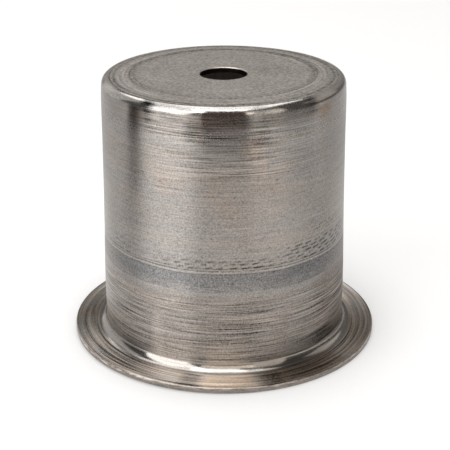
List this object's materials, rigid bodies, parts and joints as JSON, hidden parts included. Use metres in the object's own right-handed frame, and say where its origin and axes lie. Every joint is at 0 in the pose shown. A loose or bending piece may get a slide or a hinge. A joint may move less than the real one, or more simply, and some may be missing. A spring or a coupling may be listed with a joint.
{
  "type": "deep drawn metal cup",
  "caption": "Deep drawn sheet steel cup with slightly tapered wall, flat outward flange round the mouth and a central pierced hole in the closed end.",
  "frame": {"origin": "centre of the flange's underside, on the cup's axis", "axes": "+Z along the cup's axis, from the open mouth to the closed end; the part is round, so X and Y are free"},
  "size_m": [0.087, 0.087, 0.0747],
  "materials": {
    "drawn_steel": "bare drawn steel, satin, with circumferential draw lines and scuffs"
  },
  "bodies": {
    "root": {"drawn_cup": "drawn_steel"}
  },
  "joints": []
}
